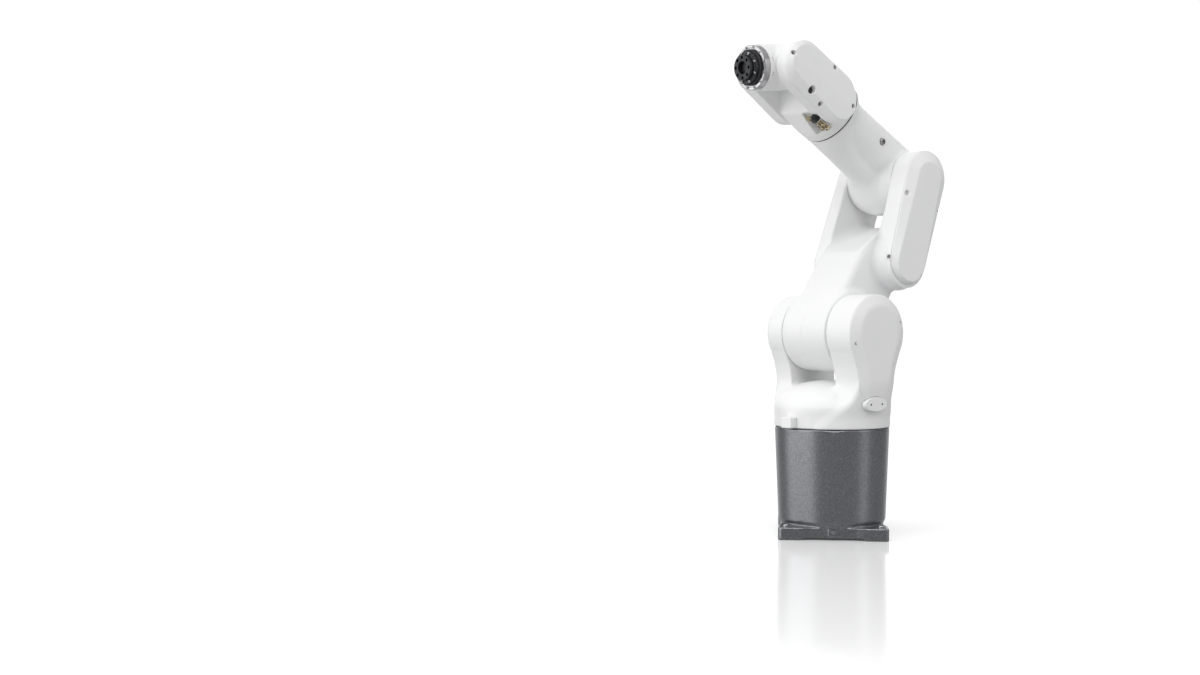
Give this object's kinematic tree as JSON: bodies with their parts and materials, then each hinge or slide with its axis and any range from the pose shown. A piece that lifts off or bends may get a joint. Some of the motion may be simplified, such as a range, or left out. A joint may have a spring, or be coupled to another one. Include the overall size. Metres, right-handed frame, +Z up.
{
  "type": "six-axis industrial robot arm",
  "caption": "Small jointed robot arm: dark round base, white column, belt-driven upper arm and forearm, forked wrist and tool flange",
  "frame": {"origin": "centre of the base's bottom face, on the first joint's axis", "axes": "+Z up along the first joint's axis; +Y towards the connector panel at the back of the base; -Y is the base's front, with the earth screw"},
  "size_m": [0.3452, 0.3398, 0.7948],
  "materials": {
    "white_paint": "satin powder coat",
    "grey_metallic_paint": "metallic paint, semi-gloss",
    "black_steel": "black oxide or black anodised, satin",
    "bright_steel": "machined, bright",
    "polished_steel": "turned and polished",
    "cast_aluminium": "machined aluminium, satin",
    "brass": "turned, nickel-free",
    "black_rubber": "matte"
  },
  "bodies": {
    "base": {"base_housing": "grey_metallic_paint", "bottom_plate": "black_steel", "connector_panel": "cast_aluminium", "power_connector": "black_steel", "signal_connector": "black_steel", "network_socket": "black_steel", "air_inlet_1": "brass", "air_inlet_2": "brass", "ground_screw": "bright_steel", "foot_bolt_1": "bright_steel", "foot_bolt_2": "bright_steel", "foot_bolt_3": "bright_steel", "foot_bolt_4": "bright_steel", "a1_motor": "black_steel", "a1_gear": "bright_steel"},
    "column": {"column_casting": "white_paint", "column_right_cover": "white_paint", "column_left_cover": "white_paint", "a1_stop": "white_paint", "port_cap": "white_paint", "a2_motor": "black_steel", "a2_bearing": "bright_steel"},
    "upper_arm": {"upper_arm_casting": "white_paint", "upper_arm_right_cover": "white_paint", "upper_arm_left_cover": "white_paint", "upper_arm_screw_1": "bright_steel", "upper_arm_screw_2": "bright_steel", "upper_arm_screw_3": "bright_steel", "upper_arm_screw_4": "bright_steel", "a3_motor": "black_steel", "a3_gear": "bright_steel", "a3_belt": "black_rubber", "a3_bearing": "bright_steel"},
    "a3_motor_pulley": {"a3_motor_pulley": "cast_aluminium"},
    "a3_gear_pulley": {"a3_gear_pulley": "cast_aluminium"},
    "forearm": {"forearm_casting": "white_paint", "forearm_rear_cap": "white_paint", "elbow_cover": "white_paint", "forearm_plug": "bright_steel", "a4_motor": "black_steel", "a4_gear": "bright_steel"},
    "wrist": {"wrist_casting": "white_paint", "wrist_right_cover": "white_paint", "wrist_left_cover": "white_paint", "port_block": "cast_aluminium", "wrist_connector": "black_steel", "air_ports": "brass", "a5_motor": "black_steel", "a5_gear": "bright_steel", "a5_belt": "black_rubber", "a5_bearing": "bright_steel"},
    "a5_motor_pulley": {"a5_motor_pulley": "cast_aluminium"},
    "a5_gear_pulley": {"a5_gear_pulley": "cast_aluminium"},
    "knuckle": {"knuckle_casting": "white_paint", "knuckle_plate": "white_paint", "steel_ring": "polished_steel", "flange_seal": "black_rubber", "a6_motor": "black_steel"},
    "flange": {"flange_adapter": "black_steel", "tool_flange": "black_steel"}
  },
  "joints": [
    {"name": "joint_1", "type": "hinge", "parent": "base", "child": "column", "pos_m": [0, 0, 0.1765], "axis": [0, 0, 1], "range_deg": [-123.6, 216.4]},
    {"name": "joint_2", "type": "hinge", "parent": "column", "child": "upper_arm", "pos_m": [0, 0, 0.33], "axis": [0.6896, -0.7242, 0], "range_deg": [-76, 140]},
    {"name": "joint_3", "type": "hinge", "parent": "upper_arm", "child": "forearm", "pos_m": [0.10085, 0.09604, 0.58437], "axis": [-0.6896, 0.7242, 0], "range_deg": [-60, 180]},
    {"name": "joint_4", "type": "hinge", "parent": "forearm", "child": "wrist", "pos_m": [0.1079, 0.10275, 0.60185], "axis": [-0.6328, -0.6026, 0.4863], "range_deg": [-180, 190]},
    {"name": "joint_5", "type": "hinge", "parent": "wrist", "child": "knuckle", "pos_m": [-0.08826, -0.08405, 0.75261], "axis": [-0.657, 0.7502, 0.0746], "range_deg": [-84, 155]},
    {"name": "joint_6", "type": "hinge", "parent": "knuckle", "child": "flange", "pos_m": [-0.14476, -0.13275, 0.74478], "axis": [-0.7533, -0.6494, -0.1044], "range_deg": [-350, 350]},
    {"name": "elbow_gear_pulley_spin", "type": "hinge", "parent": "upper_arm", "child": "a3_gear_pulley", "pos_m": [0.10085, 0.09604, 0.58437], "axis": [-0.6896, 0.7242, 0], "continuous": true},
    {"name": "elbow_motor_pulley_spin", "type": "hinge", "parent": "upper_arm", "child": "a3_motor_pulley", "pos_m": [0.06954, 0.06622, 0.44501], "axis": [-0.6896, 0.7242, 0], "continuous": true},
    {"name": "wrist_gear_pulley_spin", "type": "hinge", "parent": "wrist", "child": "a5_gear_pulley", "pos_m": [-0.08826, -0.08405, 0.75261], "axis": [-0.657, 0.7502, 0.0746], "continuous": true},
    {"name": "wrist_motor_pulley_spin", "type": "hinge", "parent": "wrist", "child": "a5_motor_pulley", "pos_m": [-0.03596, -0.03437, 0.7136], "axis": [-0.657, 0.7502, 0.0746], "continuous": true}
  ],
  "couplings": [
    {"joint": "elbow_gear_pulley_spin", "follows": "joint_3", "ratio": 50},
    {"joint": "elbow_motor_pulley_spin", "follows": "joint_3", "ratio": 90.65},
    {"joint": "wrist_gear_pulley_spin", "follows": "joint_5", "ratio": 50},
    {"joint": "wrist_motor_pulley_spin", "follows": "joint_5", "ratio": 70.33}
  ]
}
